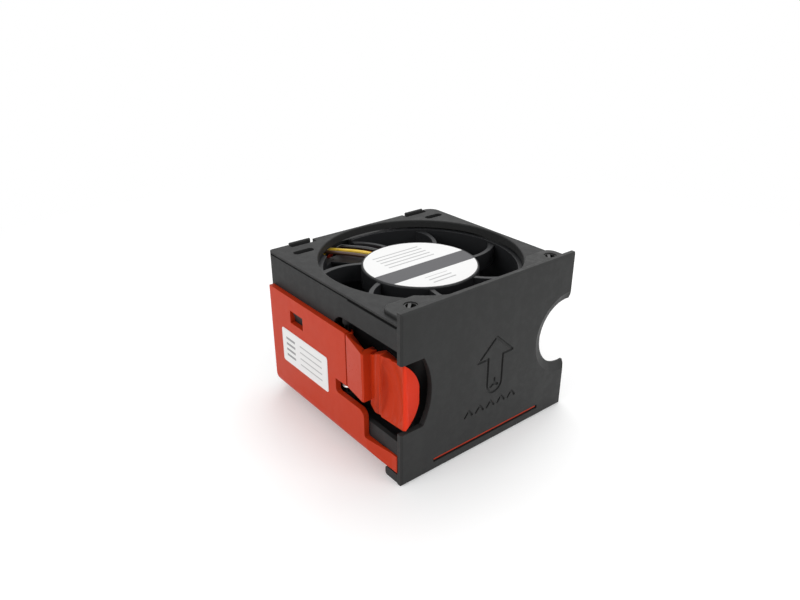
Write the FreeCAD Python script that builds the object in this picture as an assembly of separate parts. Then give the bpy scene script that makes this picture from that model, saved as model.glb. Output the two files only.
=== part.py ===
"""Hot-swap server fan module: a 60 mm axial fan in a plastic carrier with a spring-loaded release lever.

Millimetres. The fan's axis is +Z, the way the air goes. X = 0 and Y = 0 lie on that axis, and Z = 0 is
the plane that the module rests on. The arrow plate closes the -Y side, the red latch parts are on the
-X side, and the blind-mate connector points to +Y.
"""
import FreeCAD, Part
import math
import os

V = FreeCAD.Vector
UP = V(0, 0, 1)

# ---- fan: frame -------------------------------------------------------------------------------------
fan_side = 60.0
fan_depth = 38.0
fan_flange_t = 4.0
fan_corner_r = 3.0
duct_wall = 1.05
duct_inset = 0.15
screw_pitch = 50.0
screw_hole_r = 2.15
inlet_flare = 3.0
vane_count = 7
vane_t = 1.5
vane_foot_t = 3.4
vane_drop = 0.6
vane_sweep_deg = 17.0
vane_first_deg = 34.3
vane_gap = 0.02
base_r = 17.6
base_wall = 1.2
base_floor_t = 2.6
base_skirt = 6.0
label_recess = 0.2
label_t = 0.15
wire_shelf_t = 0.8

# ---- fan: rotor and motor ---------------------------------------------------------------------------
hub_r = 17.0
hub_wall = 1.3
hub_gap = 0.8
hub_nose_z = 3.0
blade_count = 5
tip_gap = 0.6
blade_root_deg = 44.0
blade_tip_deg = 52.0
blade_t = 1.5
blade_in = 4.0
blade_out = 8.2
yoke_t = 1.0
press_gap = 0.05
magnet_t = 1.9
air_gap = 0.5
shaft_r = 1.5
shaft_fit = 0.03
bearing_or = 4.0
bearing_w = 4.0
bearing_fit = 0.02
tube_wall = 0.8
stator_h = 12.0
stator_lift = 11.0
stator_teeth = 4
tooth_w = 3.2
shoe_deg = 66.0
shoe_t = 1.2
insulator_t = 0.5
board_t = 1.0
clip_t = 0.4

# ---- wires ------------------------------------------------------------------------------------------
wire_d = 1.2
wire_pitch = 2.4
wire_room = 3.15
notch_gap = 1.3
wire_drop = 8.0
wire_gather_z = 28.0
wire_straight = 4.5
connector_pitch = 2.5

# ---- shell ------------------------------------------------------------------------------------------
top_t = 2.5
fan_top_gap = 0.4
fan_fit = 0.1
latch_space = 2.2
wall_left = 1.4
wall_right = 1.0
right_wall_z = 1.3
front_space = 1.5
back_space = 0.9
outlet_r = 30.2
outlet_round = 0.4
corner_back_left = 1.5
corner_back_right = 3.6
groove_drop = 0.5
groove_h = 0.5
groove_depth = 0.5
groove_slit_len = 21.0
hook_window_in = 18.0
hook_window_out = 26.8
hook_window_depth = 2.4
oblong_x = 25.7
oblong_y = 23.6
oblong_len = 6.8
oblong_w = 2.5
recess_len = 10.4
recess_z0 = 9.6
recess_z1 = 40.4
lever_cut_z0 = 13.5
lever_cut_z1 = 40.2
lever_cut_len = 28.3

# ---- arrow plate ------------------------------------------------------------------------------------
plate_t = 1.7
plate_rise = 3.5
plate_right_inset = 1.1
plate_overhang = 0.2
plate_bevel = 0.5
ear_t = 1.0
ear_depth = 9.3
ear_left_inset = 1.6
ear_inner_x = 11.0
ear_round = 3.0
thumb_z0 = 16.3
thumb_z1 = 36.8
thumb_reach = 10.0
thumb_arc_r = 20.6
finger_r = 10.4
finger_z = 25.9
finger_inset = 1.1
finger_bevel = 2.6
finger_bevel_depth = 1.0
slot_z = 3.3
slot_h = 1.2
slot_len = 41.6
engrave_depth = 0.35
engrave_w = 0.8
foot_h = 2.7
foot_len = 5.5
foot_w = 3.4
rivet_r = 1.75
rivet_fit = 0.1
rivet_x_left = 25.2
rivet_x_right = 27.2
rivet_y = 26.2
rivet_sink = 0.3
rivet_pocket = 1.4
rivet_bar = 0.8

# ---- red latch carrier ------------------------------------------------------------------------------
skin_t = 1.6
skin_gap = 0.1
skin_top = 37.4
skin_back_inset = 2.1
skin_corner_r = 4.0
bend_r = 3.0
tray_z = 3.2
tray_t = 1.2
tray_fit = 0.3
intake_r = 28.8
intake_lip = 1.0
pad_r = 3.6
pad_h = 2.2
peg_r = 1.9
peg_len = 2.5
tab_t = 0.6
tab_sink = 0.3
window_y = 13.9
window_z = 31.1
window_len = 6.9
window_h = 4.0
slot_low_z = 16.9
slot_high_z = 21.15
slot_back_y = 5.8
strip_top_z = 8.8
strip_t = 0.9
strip_step = 0.2
strip_flat = 2.0
strip_taper = 4.4
catch_w = 6.0
cut_front_y = 19.0
seam_y = 11.2
catch_gap = 0.3

# ---- release lever ----------------------------------------------------------------------------------
pivot_y = 6.9
pivot_inset = 0.8
pin_r = 0.75
boss_r = 1.35
pin_fit = 0.05
barrel_r = 1.4
boss_h = 2.8
boss_rise = 2.6
lever_gap = 0.3
lever_t = 1.6
lever_flare = 1.3
shoulder_y = 20.8
shoulder_h = 2.6
lever_top_z = 37.4
lever_front_z = 35.6
lever_low_z = 21.3
pad_z0 = 16.75
pad_z1 = 36.2
lip_reach = 6.7
lip_arc_r = 12.2
bowl_depth = 4.9
bowl_edge = 3.9
pad_skirt = 1.4
press_angle = 7.0
spring_wire_r = 0.3
spring_r = 1.7
spring_pitch = 0.85
spring_turns = 3
spring_deg0 = -51.2
spring_deg1 = 22.1
spring_leg = 2.52
spring_wall_leg = 5.46
spring_lift = 0.75
spring_play = 0.5

# ---- back cover and connector -----------------------------------------------------------------------
wire_space = 2.0
cover_t = 1.4
cover_half_w = 28.0
cover_top_z = 43.6
hook_t = 1.0
hook_top_z = 48.1
hook_x0 = 19.2
hook_x1 = 26.4
cover_rib_h = 0.8
cover_rib_z = 26.0
cover_rib_pitch = 5.0
connector_w = 15.0
connector_h = 8.0
connector_z = 9.0
connector_reach = 6.0
contact_w = 0.9
contact_slot = 1.3

# ---- labels -----------------------------------------------------------------------------------------
side_label_len = 24.7
side_label_h = 11.4
side_label_y = 10.4
side_label_z = 20.1
side_label_t = 0.12

# ---- places that follow from the sizes above --------------------------------------------------------
half = fan_side / 2
tray_z1 = tray_z + tray_t
fan_z0 = tray_z1 + pad_h
fan_z1 = fan_z0 + fan_depth
top_z0 = fan_z1 + fan_top_gap
top_height = top_z0 + top_t
left_x = -(half + latch_space + wall_left)
left_in_x = left_x + wall_left
right_in_x = half + fan_fit
right_x = right_in_x + wall_right
front_in_y = -(half + front_space)
front_y = front_in_y - plate_t
back_y = half + back_space
plate_height = top_height + plate_rise
duct_r = half - duct_inset
bore_r = duct_r - duct_wall
plate_x0 = left_x - plate_overhang
plate_x1 = right_x - plate_right_inset
skin_x1 = left_x - skin_gap
skin_x0 = skin_x1 - skin_t
strip_x0 = plate_x0 - strip_step
pivot_x = left_in_x + pivot_inset
boss_top_z0 = lever_top_z + lever_gap
left_wall_z = tray_z1 + bend_r - skin_t + 0.4
base_z0 = fan_z1 - base_skirt
hub_top = base_z0 - hub_gap
hub_bottom = fan_z0 + hub_nose_z
shoulder_x = skin_x0 - lever_flare
pad_x = shoulder_x + shoulder_h
cover_y0 = half + wire_space
cover_y1 = cover_y0 + cover_t
magnet_or = hub_r - hub_wall - press_gap - yoke_t - press_gap
magnet_ir = magnet_or - magnet_t
stator_r = magnet_ir - air_gap
tube_or = bearing_or + bearing_fit + tube_wall
stator_z0 = hub_bottom + stator_lift
stator_z1 = stator_z0 + stator_h
board_z = hub_top - 0.4
label_z = fan_z1 - label_recess


# ---- small tools ------------------------------------------------------------------------------------
def box(x0, x1, y0, y1, z0, z1):
    return Part.makeBox(x1 - x0, y1 - y0, z1 - z0, V(x0, y0, z0))


def rod(r, z0, z1, x=0.0, y=0.0):
    return Part.makeCylinder(r, z1 - z0, V(x, y, z0), UP)


def ring(r_out, r_in, z0, z1, x=0.0, y=0.0):
    return rod(r_out, z0, z1, x, y).cut(rod(r_in, z0 - 1, z1 + 1, x, y))


def polar(r, deg, z=0.0):
    a = math.radians(deg)
    return V(r * math.cos(a), r * math.sin(a), z)


def rounded_wire(points):
    """A closed wire through (vector, radius) corners, each rounded by a tangent arc of its radius."""
    edges = []
    n = len(points)
    starts = []
    for i in range(n):
        p, r = points[i]
        a = points[i - 1][0] - p
        b = points[(i + 1) % n][0] - p
        if r <= 0:
            starts.append((p, None, p))
            continue
        turn = a.getAngle(b)
        d = r / math.tan(turn / 2)
        a.normalize()
        b.normalize()
        mid = a + b
        mid.normalize()
        centre = p + mid * (r / math.sin(turn / 2))
        starts.append((p + a * d, centre - mid * r, p + b * d))
    for i in range(n):
        enter, mid, leave = starts[i]
        if mid is not None:
            edges.append(Part.Arc(enter, mid, leave).toShape())
        following = starts[(i + 1) % n][0]
        if leave.distanceToPoint(following) > 1e-6:
            edges.append(Part.LineSegment(leave, following).toShape())
    return Part.Wire(Part.__sortEdges__(edges))


def prism(points, start, length, axis="z"):
    """Extrude an outline of (u, v) or (u, v, radius) corners along an axis, from start over length."""
    place = {"x": lambda u, v: V(start, u, v), "y": lambda u, v: V(u, start, v), "z": lambda u, v: V(u, v, start)}
    way = {"x": V(length, 0, 0), "y": V(0, length, 0), "z": V(0, 0, length)}
    corners = [(place[axis](c[0], c[1]), c[2] if len(c) > 2 else 0.0) for c in points]
    return Part.Face(rounded_wire(corners)).extrude(way[axis])


def oblong(x, y, length, width, z0, z1):
    """A slot along X with round ends."""
    r = width / 2 - 0.01
    corners = [(x - length / 2, y - width / 2, r), (x + length / 2, y - width / 2, r),
               (x + length / 2, y + width / 2, r), (x - length / 2, y + width / 2, r)]
    return prism(corners, z0, z1 - z0)


def fuse(shapes):
    return shapes[0].multiFuse(shapes[1:]).removeSplitter()


def clean(shape):
    """The largest solid of a shape, with its coplanar faces joined."""
    solids = sorted(shape.Solids, key=lambda s: s.Volume)
    return solids[-1].removeSplitter()


def around(shape, count, first=0.0):
    copies = []
    for i in range(count):
        one = shape.copy()
        one.rotate(V(0, 0, 0), UP, first + 360.0 * i / count)
        copies.append(one)
    return copies


def corner_round(shape, pick, radius):
    """Fillet the edges that a test picks, when there are any."""
    edges = [e for e in shape.Edges if pick(e)]
    return shape.makeFillet(radius, edges) if edges else shape


def wire_tube(points, diameter):
    """A tube along straight runs joined by tangent arcs, each as large as its two runs allow."""
    edges = []
    here = points[0]
    for i in range(1, len(points) - 1):
        a = points[i - 1] - points[i]
        b = points[i + 1] - points[i]
        shorter = min(a.Length, b.Length)
        turn = a.getAngle(b)
        a.normalize()
        b.normalize()
        d = 0.45 * shorter
        mid = a + b
        mid.normalize()
        r = d * math.tan(turn / 2)
        centre = points[i] + mid * (r / math.sin(turn / 2))
        enter = points[i] + a * d
        leave = points[i] + b * d
        edges.append(Part.LineSegment(here, enter).toShape())
        edges.append(Part.Arc(enter, centre - mid * r, leave).toShape())
        here = leave
    edges.append(Part.LineSegment(here, points[-1]).toShape())
    path = Part.Wire(edges)
    start = points[1] - points[0]
    profile = Part.Wire(Part.makeCircle(diameter / 2, points[0], start))
    return path.makePipeShell([profile], True, True)


# ---- shell ------------------------------------------------------------------------------------------
def shell_blank():
    """Top panel and two side walls, before their openings."""
    corners = [(left_x, front_in_y), (right_x, front_in_y),
               (right_x, back_y, corner_back_right), (left_x, back_y, corner_back_left)]
    block = prism(corners, right_wall_z, top_height - right_wall_z)
    hollow = box(left_in_x, right_in_x, front_in_y - 1, back_y + 1, right_wall_z - 1, top_z0)
    return block.cut(hollow).cut(box(left_x - 1, left_in_x, front_in_y - 1, back_y + 1, 0, left_wall_z))


def shell_top_cuts():
    """Round outlet, hook windows in the back edge and the oblong slots at the back corners."""
    cuts = [rod(outlet_r, top_z0 - 2, top_height + 1)]
    for side in (-1, 1):
        xs = sorted((side * hook_window_in, side * hook_window_out))
        cuts.append(box(xs[0], xs[1], back_y - hook_window_depth, back_y + 1, top_z0 - 1, top_height + 1))
        cuts.append(oblong(side * oblong_x, oblong_y, oblong_len, oblong_w, top_z0 - 1, top_height + 1))
    return cuts


def groove_cuts():
    """Shadow groove under the top panel's left edge; towards the plate it is a slit through the wall."""
    z1 = top_height - groove_drop
    z0 = z1 - groove_h
    groove = box(left_x - 1, left_x + groove_depth, front_in_y - 1, back_y - corner_back_left, z0, z1)
    slit = box(left_x - 1, left_in_x + 0.6, front_in_y + 0.6, front_in_y + groove_slit_len, z0 - 0.3, z1)
    return [groove, slit]


def shell_side_cuts():
    """Lever opening in the left wall, finger recess in the right wall, catch holes for the tray."""
    y1 = front_in_y + lever_cut_len
    lever_cut = prism([(front_in_y - 1, lever_cut_z0), (y1, lever_cut_z0, 2.0),
                       (y1, lever_cut_z1, 5.0), (front_in_y - 1, lever_cut_z1)],
                      left_x - 1, wall_left + 1.2, "x")
    y2 = front_in_y + recess_len
    recess = prism([(front_in_y - 1, recess_z0), (y2, recess_z0, 3.0),
                    (y2, recess_z1, 3.0), (front_in_y - 1, recess_z1)],
                   right_in_x - 1, wall_right + 2, "x")
    cuts = [lever_cut, recess]
    for y in catch_places():
        cuts.append(box(right_in_x - 1, right_x + 1, y - catch_w / 2 - catch_gap, y + catch_w / 2 + catch_gap,
                        tray_z - catch_gap, tray_z1 + catch_gap))
    cuts.append(box(left_x - 1, strip_x0 + strip_t + skin_gap, front_in_y - 1,
                    front_in_y + strip_flat + strip_taper + 0.3, 0, strip_top_z + 0.15))
    return cuts


def catch_places():
    return [-half / 3, half * 0.6]


def pivot_bosses():
    """Two bosses inside the left wall that hold the ends of the lever's pin."""
    y = -pivot_y
    bosses = []
    for z0, z1 in ((lever_cut_z0 - boss_h, lever_cut_z0 + boss_rise), (boss_top_z0, lever_cut_z1 + boss_h)):
        bosses.append(rod(boss_r, z0, z1, pivot_x, y))
    for z0, z1 in ((lever_cut_z0 - boss_h, lever_cut_z0), (lever_cut_z1, lever_cut_z1 + boss_h)):
        bosses.append(box(left_x + 0.2, pivot_x, y - boss_r, y + boss_r, z0, z1))
    return bosses


def snap_barb():
    """The barb on the left wall that stands in the red panel's window."""
    y0 = window_y - window_len / 2 + catch_gap
    y1 = window_y + window_len / 2 - catch_gap
    z0 = window_z - window_h / 2 + catch_gap
    z1 = window_z + window_h / 2 - catch_gap
    x = left_x - 0.8
    return Part.makePolygon([V(left_x + 0.2, y0, z0), V(left_x, y0, z0), V(x, y0, z1 - 0.8),
                             V(x, y0, z1), V(left_x + 0.2, y0, z1), V(left_x + 0.2, y0, z0)]), y1 - y0


def housing_shell():
    shell = shell_blank()
    wire, length = snap_barb()
    barb = Part.Face(wire).extrude(V(0, length, 0))
    shell = shell.cut(shell_top_cuts() + groove_cuts() + shell_side_cuts())
    shell = fuse([shell, barb] + pivot_bosses())
    bore = rod(pin_r, lever_cut_z0 - boss_h + 0.8, lever_cut_z1 + boss_h - 0.8, pivot_x, -pivot_y)
    shell = shell.cut(bore)
    for x in (-rivet_x_left, rivet_x_right):
        shell = shell.cut(rod(rivet_r + rivet_fit, top_z0 + rivet_sink, top_height + 1, x, -rivet_y))
    shell = clean(shell)
    rim = [e for e in shell.Edges if e.Curve.TypeId == "Part::GeomCircle" and abs(e.Curve.Radius - outlet_r) < 1e-3
           and abs(e.BoundBox.ZMax - top_height) < 1e-3 and e.BoundBox.ZLength < 1e-3]
    return shell.makeFillet(outlet_round, rim)


# ---- arrow plate ------------------------------------------------------------------------------------
def plate_sheet():
    """Flat plate with its edges bevelled on the outside."""
    outline = [(plate_x0, 0), (plate_x1, 0), (plate_x1, plate_height), (plate_x0, plate_height)]
    sheet = prism(outline, front_y, plate_t, "y")
    edges = [e for e in sheet.Edges if abs(e.BoundBox.YMax - front_y) < 1e-6 and e.BoundBox.YLength < 1e-6]
    return sheet.makeChamfer(plate_bevel, edges)


def thumb_notch():
    """Opening for the lever's pad: square at the edge, with a bowed inner side."""
    x1 = plate_x0 + thumb_reach
    mid_z = (thumb_z0 + thumb_z1) / 2
    h = (thumb_z1 - thumb_z0) / 2
    x_side = x1 - (thumb_arc_r - math.sqrt(thumb_arc_r ** 2 - h ** 2))
    y = front_y - 1
    a, b = V(plate_x0 - 1, y, thumb_z0), V(x_side, y, thumb_z0)
    c, d = V(x_side, y, thumb_z1), V(plate_x0 - 1, y, thumb_z1)
    edges = [Part.LineSegment(a, b).toShape(), Part.Arc(b, V(x1, y, mid_z), c).toShape(),
             Part.LineSegment(c, d).toShape(), Part.LineSegment(d, a).toShape()]
    return Part.Face(Part.Wire(edges)).extrude(V(0, plate_t + 2, 0))


def finger_notch():
    """Round notch in the right edge with a wide shallow bevel on the outside."""
    x = plate_x1 - finger_inset
    hole = Part.makeCylinder(finger_r, plate_t + 2, V(x, front_y - 1, finger_z), V(0, 1, 0))
    edge = box(x, plate_x1 + 1, front_y - 1, front_in_y + 1, finger_z - finger_r + 0.4, finger_z + finger_r - 0.4)
    bevel = Part.makeCone(finger_r + finger_bevel * 1.5, finger_r, finger_bevel_depth * 1.5,
                          V(x, front_y - finger_bevel_depth * 0.5, finger_z), V(0, 1, 0))
    return [hole, bevel, edge]


def bar_on_plate(x0, z0, x1, z1, width):
    """One engraved stroke with round ends between two points of the plate's face."""
    a, b = V(x0, 0, z0), V(x1, 0, z1)
    run = b - a
    length = run.Length
    run.normalize()
    side = V(-run.z, 0, run.x) * (width / 2)
    base = V(0, front_y - 1, 0)
    corners = [a + side + base, b + side + base, b - side + base, a - side + base]
    stroke = Part.Face(Part.makePolygon(corners + [corners[0]])).extrude(V(0, 1 + engrave_depth, 0))
    ends = [Part.makeCylinder(width / 2, 1 + engrave_depth, p + base, V(0, 1, 0)) for p in (a, b)]
    return [stroke] + ends if length > 0 else ends


def arrow_cuts():
    """Hollow arrow that points the way of the air, with a small rotor in its tail and a row of chevrons."""
    cx = (plate_x0 + plate_x1) / 2 + 1.2
    top, barb_z, tail_z = 34.0, 28.0, 19.4
    head, shaft = 6.6, 2.8
    strokes = [(0, top, head, barb_z), (head, barb_z, shaft, barb_z), (shaft, barb_z, shaft, tail_z),
               (0, top, -head, barb_z), (-head, barb_z, -shaft, barb_z), (-shaft, barb_z, -shaft, tail_z)]
    cuts = []
    for x0, z0, x1, z1 in strokes:
        cuts += bar_on_plate(cx + x0, z0, cx + x1, z1, engrave_w)
    tail = Part.makeCylinder(shaft + engrave_w / 2, 1 + engrave_depth, V(cx, front_y - 1, tail_z), V(0, 1, 0))
    tail = tail.cut(Part.makeCylinder(shaft - engrave_w / 2, 4, V(cx, front_y - 2, tail_z), V(0, 1, 0)))
    tail = tail.cut(box(cx - head, cx + head, front_y - 2, front_y + 2, tail_z, tail_z + head))
    cuts.append(tail)
    for i in range(3):
        a = math.radians(90 + 120 * i)
        cuts += bar_on_plate(cx, tail_z, cx + 1.5 * math.cos(a), tail_z + 1.5 * math.sin(a), 0.9)
    return cuts + chevron_cuts(cx)


def chevron_cuts(cx):
    """A row of plain chevrons under the arrow."""
    cuts = []
    for i in range(5):
        x = cx - 1.0 + (i - 2) * 4.2
        cuts += bar_on_plate(x - 1.4, 12.2, x, 13.9, 0.7)
        cuts += bar_on_plate(x + 1.4, 12.2, x, 13.9, 0.7)
    return cuts


def ear(side):
    """A flange on the plate that laps over a front corner of the top panel."""
    outer = left_x + ear_left_inset if side < 0 else right_x
    y1 = front_in_y + ear_depth
    corners = [(side * ear_inner_x, front_in_y - 0.2), (outer, front_in_y - 0.2),
               (outer, y1, ear_round), (side * ear_inner_x, y1)]
    flange = prism(corners, top_height, ear_t)
    flange = flange.cut(rod(outlet_r + 0.3, top_height - 1, top_height + ear_t + 1))
    edges = [e for e in flange.Edges if e.BoundBox.ZLength < 1e-6 and e.BoundBox.ZMax > top_height + ear_t - 1e-3
             and e.BoundBox.YMax > front_in_y and e.BoundBox.YMin > front_in_y - 0.1]
    return flange.makeFillet(0.35, edges)


def plate_foot(x0, x1):
    """A foot that carries the plate's lower edge back under the tray."""
    return prism([(front_in_y - 0.2, 0), (front_in_y + foot_len, 0, 0.8), (front_in_y + foot_len, foot_h, 0.8),
                  (front_in_y - 0.2, foot_h)], x0, x1 - x0, "x")


def front_plate():
    plate = plate_sheet()
    feet = [plate_foot(left_x, left_x + foot_w), plate_foot(plate_x1 - foot_w - 0.6, plate_x1 - 0.6)]
    plate = fuse([plate, ear(-1), ear(1)] + feet)
    plate = plate.cut([thumb_notch()] + finger_notch())
    cx = (plate_x0 + plate_x1) / 2
    slot = box(cx - slot_len / 2, cx + slot_len / 2, front_y - 1, front_in_y + 1,
               slot_z - slot_h / 2, slot_z + slot_h / 2)
    plate = plate.cut([slot] + arrow_cuts())
    for x in (-rivet_x_left, rivet_x_right):
        plate = plate.cut(rod(rivet_r + rivet_fit, top_height - 1, top_height + ear_t + 1, x, -rivet_y))
    return clean(plate)


def plate_rivets():
    """Two push rivets; each end shows two pockets and the bar between them."""
    rivets = []
    for x in (-rivet_x_left, rivet_x_right):
        pin = rod(rivet_r, top_z0 + rivet_sink, top_height + ear_t - 0.25, x, -rivet_y)
        pocket = rod(rivet_r - 0.3, top_height + ear_t - 0.25 - rivet_pocket, top_height + ear_t + 1, x, -rivet_y)
        bar = Part.makeBox(4 * rivet_r, rivet_bar, 6, V(-2 * rivet_r, -rivet_bar / 2 + 0.35, 0))
        bar.rotate(V(0, 0, 0), UP, 45)
        bar.translate(V(x, -rivet_y, top_height - 3))
        rivets.append(clean(pin.cut(pocket.cut(bar))))
    return rivets


# ---- red latch carrier ------------------------------------------------------------------------------
def carrier_side():
    """Side skin with a rounded bend into the tray, as one profile along Y."""
    inner = bend_r - skin_t + 0.2
    y1 = back_y - skin_back_inset
    profile = [(skin_x0, skin_top), (skin_x0, tray_z, bend_r), (skin_x0 + 9, tray_z), (skin_x0 + 9, tray_z1),
               (skin_x1, tray_z1, inner), (skin_x1, skin_top)]
    return prism(profile, front_in_y + 0.05, y1 - front_in_y - 0.05, "y")


def carrier_trims():
    """What is cut from the skin: lever room, spring slot, snap window, corner and front strip."""
    y_front = front_in_y - 1
    x0, w = skin_x0 - 1, skin_t + 1.6
    y1 = back_y - skin_back_inset
    lever_room = prism([(y_front, strip_top_z), (-cut_front_y, strip_top_z, 0.6), (-cut_front_y, slot_low_z, 2.2),
                        (-slot_back_y, slot_low_z, 1.0), (-slot_back_y, slot_high_z, 0.3),
                        (-seam_y, slot_high_z), (-seam_y, skin_top + 1), (y_front, skin_top + 1)], x0, w, "x")
    window = box(x0, skin_x1 + 1, window_y - window_len / 2, window_y + window_len / 2,
                 window_z - window_h / 2, window_z + window_h / 2)
    corner = prism([(y1 + 1, tray_z - 1), (y1 + 1, tray_z + skin_corner_r * 2), (y1, tray_z + skin_corner_r * 2),
                    (y1, tray_z, skin_corner_r), (y1 - skin_corner_r * 2, tray_z),
                    (y1 - skin_corner_r * 2, tray_z - 1)], x0, w, "x")
    strip_thin = prism([(x0, y_front), (strip_x0, y_front), (strip_x0, front_in_y + strip_flat, 3.0),
                        (skin_x0, -cut_front_y - 1.0), (x0, -cut_front_y - 1.0)],
                       tray_z - 1, strip_top_z - tray_z + 2)
    return [lever_room, window, corner, strip_thin]


def strip_backing():
    """Inner half of the strip's bent front end, which lies in the shell's rebate."""
    y0 = front_in_y + 0.05
    y1 = front_in_y + strip_flat
    plan = [(skin_x1 - 0.15, y0), (strip_x0 + strip_t, y0), (strip_x0 + strip_t, y1),
            (skin_x1, y1 + strip_taper), (skin_x1 - 0.15, y1 + strip_taper)]
    return prism(plan, tray_z1 - 0.4, strip_top_z - tray_z1 + 0.4)


def carrier_tray():
    """Tray under the fan: intake opening with a lip, four pads with pegs, catches, and the front tab."""
    x0 = skin_x0 + bend_r
    x1 = right_in_x - tray_fit
    y0 = front_in_y + 0.05
    y1 = half + 0.2
    tray = prism([(x0, y0), (x1, y0, 2.0), (x1, y1, 2.0), (x0, y1, 0)], tray_z, tray_t)
    parts = [tray, rod(intake_r + 1.2, tray_z, tray_z1 + intake_lip)]
    for x in (-screw_pitch / 2, screw_pitch / 2):
        for y in (-screw_pitch / 2, screw_pitch / 2):
            parts.append(rod(pad_r, tray_z, fan_z0, x, y))
            peg = rod(peg_r, fan_z0 - 0.5, fan_z0 + peg_len, x, y)
            parts.append(peg.makeChamfer(0.5, [e for e in peg.Edges if e.BoundBox.ZMin > fan_z0 + 1]))
    for y in catch_places():
        parts.append(box(x1 - 1, right_x - 0.2, y - catch_w / 2, y + catch_w / 2, tray_z, tray_z1))
    cx = (plate_x0 + plate_x1) / 2
    tab = box(cx - slot_len / 2 + 0.4, cx + slot_len / 2 - 0.4, front_y + tab_sink, y0 + 2,
              tray_z, tray_z + tab_t)
    parts.append(tab)
    return fuse(parts).cut(rod(intake_r, tray_z - 1, tray_z1 + intake_lip + 1))


def latch_carrier():
    side = carrier_side().cut(carrier_trims())
    foot_room = box(left_x - 0.4, left_x + foot_w + 0.4, front_in_y - 1, front_in_y + foot_len + 0.3, 0, foot_h + 0.3)
    body = fuse([side, carrier_tray(), strip_backing()]).cut(foot_room)
    body = body.cut(rod(intake_r, tray_z - 1, tray_z1 + intake_lip + 1))
    return clean(body)


# ---- release lever ----------------------------------------------------------------------------------
def lever_blade():
    """Barrel, arm behind the carrier's edge, and the flared blade with the latch shoulder, as one bent wall."""
    y_p = -pivot_y
    seam = -seam_y - lever_gap
    arm_x = skin_x1 + lever_gap
    y_s = -shoulder_y
    plan = [(skin_x0, seam, 0.3), (shoulder_x, y_s + 0.6, 0.5), (shoulder_x + 0.25, y_s, 0.2),
            (pad_x + 2.0, y_s), (pad_x + 2.0, y_s + lever_t), (shoulder_x + lever_t + 0.3, y_s + lever_t, 0.4),
            (skin_x0 + lever_t + 0.2, seam - 0.6, 0.8), (arm_x + lever_t, seam + 0.6, 0.8),
            (pivot_x, y_p - barrel_r + 0.2), (pivot_x - 0.6, y_p - 0.2), (arm_x, y_p - barrel_r, 0.4),
            (arm_x, seam)]
    blade = prism(plan, lever_low_z, lever_top_z - lever_low_z)
    slope = prism([(seam + 8, lever_top_z), (seam, lever_top_z), (y_s - 1, lever_front_z - 0.15),
                   (y_s - 1, lever_top_z + 3), (seam + 8, lever_top_z + 3)],
                  shoulder_x - 2, 12, "x")
    rib_z = (lever_low_z + lever_front_z) / 2
    rib = prism([(shoulder_x + 1, y_s + 1), (pad_x + 2.0, y_s + 1), (arm_x + lever_t + 0.3, seam - 0.4),
                 (arm_x + 1, seam + 0.2), (skin_x0 + 1, seam - 0.6)], rib_z - 0.6, 1.2)
    return [blade.cut(slope), rib, rod(barrel_r, lever_low_z, lever_top_z, pivot_x, y_p)]


def pad_block():
    """The thumb pad before its bowl is scooped: a plan profile, cut to the outline seen from the side."""
    y_s = -shoulder_y + 0.3
    y_f = front_y + 0.5
    lip_x = pad_x + lip_reach
    plan = [(pad_x, y_s), (pad_x - 0.1, y_s - 1.9, 0.7), (pad_x + 0.75, y_s - 3.1, 0.5),
            (pad_x + 0.4, y_s - 4.0, 0.4), (pad_x + 1.5, y_f + 0.5, 0.6), (pad_x + 2.1, y_f, 0.4),
            (lip_x, y_f, 0.5), (lip_x, front_in_y + 0.4, 0.3), (lip_x + pad_skirt, front_in_y + 1.2, 0.7),
            (lip_x + pad_skirt, front_in_y + 2.6, 0.5), (pad_x + 4.2, front_in_y + 3.2, 1.0),
            (pad_x + 4.0, y_s - 2.0, 1.2), (pad_x + 2.0, y_s)]
    block = prism(plan, pad_z0 - 2, pad_z1 - pad_z0 + 4)
    side_view = [(y_s, lever_low_z - 1.6, 0.8), (y_s - 2.6, pad_z0 + 1.0, 1.4), (front_y - 1, pad_z0),
                 (front_y - 1, pad_z1), (y_s - 3.4, pad_z1, 1.6), (y_s, lever_front_z - 0.7, 0.6)]
    block = block.common(prism(side_view, pad_x - 2, 20, "x"))
    mid_z = (pad_z0 + pad_z1) / 2
    lip = Part.makeCylinder(lip_arc_r, 4, V(lip_x - lip_arc_r, front_y - 1, mid_z), V(0, 1, 0))
    skirt = Part.makeCone(lip_arc_r, lip_arc_r + pad_skirt + 0.6, 20 - pad_skirt,
                          V(lip_x - lip_arc_r, front_in_y + 0.4, mid_z), V(0, 1, 0))
    return block.common(fuse([lip, skirt]))


def pad_bowl():
    """A stretched ball that scoops the thumb's bowl, cut straight where the bowl meets the ridge."""
    mid_z = (pad_z0 + pad_z1) / 2
    ball = Part.makeSphere(1.0)
    stretch = FreeCAD.Matrix()
    stretch.scale(V(bowl_depth, 5.5, 10.4))
    ball = ball.transformGeometry(stretch)
    ball.translate(V(pad_x - 2.0, (front_y - shoulder_y) / 2 - 0.35, mid_z))
    edge_y = -shoulder_y - bowl_edge
    return ball.cut(box(pad_x - 20, pad_x + 20, edge_y, 0, 0, 60))


def release_lever():
    pad = pad_block().cut(pad_bowl())
    lever = fuse(lever_blade() + [pad])
    lever = lever.cut(rod(pin_r + pin_fit, lever_low_z - 1, lever_top_z + 1, pivot_x, -pivot_y))
    knee = spring_knee()
    hole = rod(spring_wire_r + spring_play, lever_low_z - 1, lever_low_z + lever_t + 0.6, knee.x, knee.y)
    hole.rotate(V(pivot_x, -pivot_y, 0), UP, -press_angle / 2)
    return clean(lever.cut(hole))


def lever_pin():
    pin = rod(pin_r, lever_cut_z0 - boss_h + 0.8, lever_cut_z1 + boss_h - 0.8, pivot_x, -pivot_y)
    return pin.makeChamfer(0.15, [e for e in pin.Edges if e.BoundBox.ZLength < 1e-6])


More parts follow.
